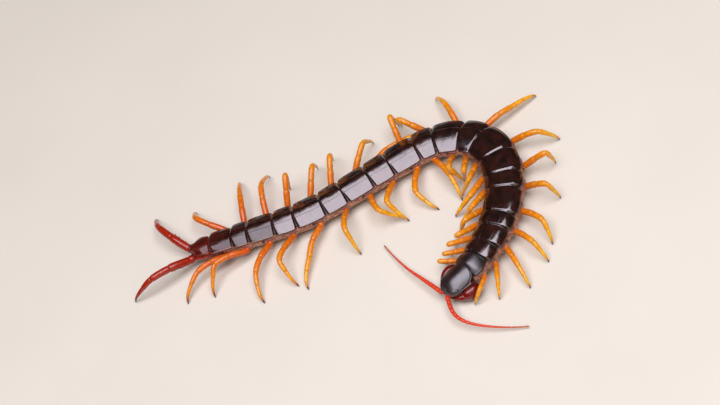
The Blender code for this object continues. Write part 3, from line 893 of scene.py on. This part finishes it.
def head(looks):
    centre = head_place(HEAD_GAP + HEAD_SIZE[0] / 2, 0, HEAD_MIDDLE)
    ahead, left = head_directions()
    bpy.ops.mesh.primitive_uv_sphere_add(segments=72, ring_count=48, radius=1)
    dome = bpy.context.object
    for vertex in dome.data.vertices:
        on, out, up = head_shape(*vertex.co)
        vertex.co = (centre + ahead * on + left * out + Vector((0, 0, up))) * MM
    keep(dome, "head_plate", "head_plate", looks["head"], replaces=("head",), sharp=70)
    roof_points = [vertex.co / MM for vertex in dome.data.vertices if vertex.co.z > HEAD_MIDDLE * MM]
    for side, sign in (("left", 1), ("right", -1)):
        turn = math.atan2(ahead.y, ahead.x) + sign * 0.75
        eyes = []
        for on, out, radius in OCELLI:
            spot = head_place(EYE_PLACE[0] + on, sign * (EYE_PLACE[1] + out), 0.0)
            nearest = min(roof_points, key=lambda point: (point.xy - spot.xy).length)
            spot.z = nearest.z - EYE_SINK
            eyes.append(pebble(spot, (radius, radius, radius * 0.9), turn, 2.0, 0.1))
        keep(join(eyes), f"ocelli_{side}", "eyes", looks["eye"], replaces=(f"eye_{side}",))


def jaws(patterns, looks):
    """Under the head: the plate with its teeth, the lip, and the two jointed poison claws."""
    ahead, _ = head_directions()
    turn = math.atan2(ahead.y, ahead.x)
    size = [length / 2 for length in JAW_BASE_SIZE]
    base = pebble(head_place(*JAW_BASE_PLACE), size, turn, 4.0, 0.08, 0.0, 40, 20)
    keep(base, "jaw_plate", "jaws", looks["jaw"], replaces=("jaw_base",))
    for side, sign in (("left", 1), ("right", -1)):
        joints = [head_place(on, sign * out, height) for on, out, height, _ in JAW_PATH]
        radii = [radius for *_, radius in JAW_PATH]
        thigh = fit_along(patterns["long"], joints, radii, 0.0, 3.15, depth=JAW_DEPTH)
        rings = [fit_along(patterns["long"], joints, radii, first, last, depth=0.95)
                 for first, last in ((3.1, 3.55), (3.5, 3.95))]
        fang = fit_along(patterns["claw"], joints, radii, 3.9, 6.0)
        keep(join([thigh, *rings, fang]), f"poison_claw_{side}", "jaws", looks["claw"],
             replaces=(f"jaw_{side}",), sharp=60)
    lip = pebble(head_place(8.7, 0, 4.6), (1.5, 2.6, 0.5), turn, 2.8, 0.1, 0.1, 28, 14)
    keep(lip, "upper_lip", "jaws", looks["jaw"])
    teeth = []
    for sign in (1, -1):
        for step in range(4):
            out = 0.35 + 0.42 * step
            teeth.append(pebble(head_place(6.35 - 0.12 * step, sign * out, 3.3), (0.4, 0.2, 0.2), turn, 2.0, 0.6))
    keep(join(teeth), "jaw_teeth", "leg_claws", looks["tip"])


# The scene around the animal

def stage():
    bpy.ops.mesh.primitive_plane_add(size=6)
    floor = bpy.context.object
    floor.name = "floor"
    floor.data.materials.append(pale_floor())


def camera():
    elevation, roll = math.radians(VIEW_ELEVATION), math.radians(VIEW_ROLL)
    back = Vector((0, -math.cos(elevation), math.sin(elevation)))
    level = Vector((1, 0, 0))
    upright = Vector((0, math.sin(elevation), math.cos(elevation)))
    right = level * math.cos(roll) - upright * math.sin(roll)
    up = level * math.sin(roll) + upright * math.cos(roll)
    lens = bpy.data.cameras.new("camera")
    lens.sensor_width = 36
    lens.lens = lens.sensor_width / 2 / math.tan(math.radians(VIEW_ACROSS / 2))
    lens.clip_start = 0.01
    eye = bpy.data.objects.new("camera", lens)
    turn = Matrix((right, up, back)).transposed().to_4x4()
    eye.matrix_world = Matrix.Translation((Vector(VIEW_TARGET) + back * VIEW_DISTANCE) * MM) @ turn
    bpy.context.scene.collection.objects.link(eye)
    bpy.context.scene.camera = eye


def softbox(name, centre, aim, width, height, power, colour):
    light = bpy.data.lights.new(name, "AREA")
    light.shape = "RECTANGLE"
    light.size = width
    light.size_y = height
    light.energy = power
    light.color = to_linear(colour)[:3]
    lamp = bpy.data.objects.new(name, light)
    lamp.location = centre
    lamp.rotation_euler = (Vector(aim) - Vector(centre)).to_track_quat("-Z", "Y").to_euler()
    bpy.context.scene.collection.objects.link(lamp)


def lighting():
    """A soft light overhead and a weaker one on the viewer's side. The room is evenly pale, but
    gloss sees it dimmer, as if dark cards stood round the table."""
    world = bpy.data.worlds.new("dim studio")
    bpy.context.scene.world = world
    world.use_nodes = True
    background = world.node_tree.nodes["Background"]
    background.inputs["Color"].default_value = to_linear("#c6beb4")
    glossy = add(world, "LightPath", output="Is Glossy Ray")
    strength = add(world, "MapRange", {"Value": glossy, 3: 0.28, 4: 0.035})
    world.node_tree.links.new(strength, background.inputs["Strength"])
    softbox("overhead softbox", (0.02, -0.24, 0.9), (0.02, -0.24, 0), 1.05, 0.76, 12.4, "#f8f5fd")
    softbox("front softbox", (0.1, -1.2, 0.75), (0, 0, 0), 1.3, 0.6, 2.0, "#fff6ea")


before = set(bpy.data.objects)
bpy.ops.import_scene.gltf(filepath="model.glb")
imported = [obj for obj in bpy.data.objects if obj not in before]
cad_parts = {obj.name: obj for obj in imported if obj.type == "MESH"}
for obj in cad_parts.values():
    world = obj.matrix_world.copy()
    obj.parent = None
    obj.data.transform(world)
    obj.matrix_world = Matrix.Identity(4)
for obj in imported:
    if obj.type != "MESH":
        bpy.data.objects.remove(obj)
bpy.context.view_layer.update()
bpy.context.scene.view_settings.view_transform = "Standard"
camera()
lighting()
stage()

shells = {
    "satin": head_chitin(),
    "dark": plate_shell("polished dark chitin", "#190d09", "#371812", "#54382e", 0.78),
    "edged": plate_shell("pale-edged dark chitin", "#1c0c0a", "#3c1713", "#86604e", 0.4),
    "maroon": plate_shell("polished maroon chitin", "#2c0d0b", "#481916", "#96685a", 0.3),
    "red": plate_shell("polished red-brown chitin", "#40100c", "#601a12", "#8c4030", 0.25),
}
claw_tip = even_chitin("brown claw chitin", "#5a2c12", "#38180a", 0.35)
walking_looks = {
    "shell": limb_shell("amber leg chitin", ["#cc4c08", "#ee9010", "#f6b626", "#d88a1c", "#744010"],
                        ["#bc3004", "#de6808", "#e88c18", "#aa5010", "#54200c"]),
    "joint": even_chitin("pale joint skin", "#d08a3a", "#a05c20", 0.45, 0.5, 0.0),
    "claw": claw_tip,
}
last_looks = {
    "shell": limb_shell("deep red leg chitin", ["#9a1a06", "#a82608", "#a02208", "#701808", "#340e06"], None, 0.22, 0.3),
    "joint": even_chitin("dark red joint skin", "#7a1c10", "#4a1008", 0.4, 0.5, 0.0),
    "claw": claw_tip,
}
soft_skin(flank_skin())
back_plates(shells)
belly_plates(even_chitin("tan belly chitin", "#8a5230", "#6a3a20", 0.32, 2.5))
side_plates(even_chitin("brown flank chitin", "#96604a", "#6e3c2c", 0.35, 0.7), shells["dark"])
tail_lobes(even_chitin("red hip chitin", "#9a1c10", "#6a120a", 0.24, 1.2, 0.6))
patterns = limb_patterns()
legs(patterns, {"walking": walking_looks, "last": last_looks})
antennae(patterns, limb_shell("orange-red antenna cuticle", ["#d63a14", "#e44018", "#e04a24", "#d05a34", "#c06a44"],
                              None, 0.4, 0.2))
head({"head": shells["satin"],
      "eye": even_chitin("black eye lens", "#0a0808", "#050404", 0.08, 0.6, 1.0, 0.0)})
red_jaw = even_chitin("dark red jaw chitin", "#7a140c", "#4c0c08", 0.22, 1.6, 0.7)
jaws(patterns, {"jaw": red_jaw, "tip": claw_tip,
                "claw": limb_shell("poison claw chitin", ["#4a0a07", "#740f0b", "#78130c", "#440a07", "#180504"],
                                   None, 0.24, 0.5)})
for pattern in patterns.values():
    bpy.data.objects.remove(pattern)
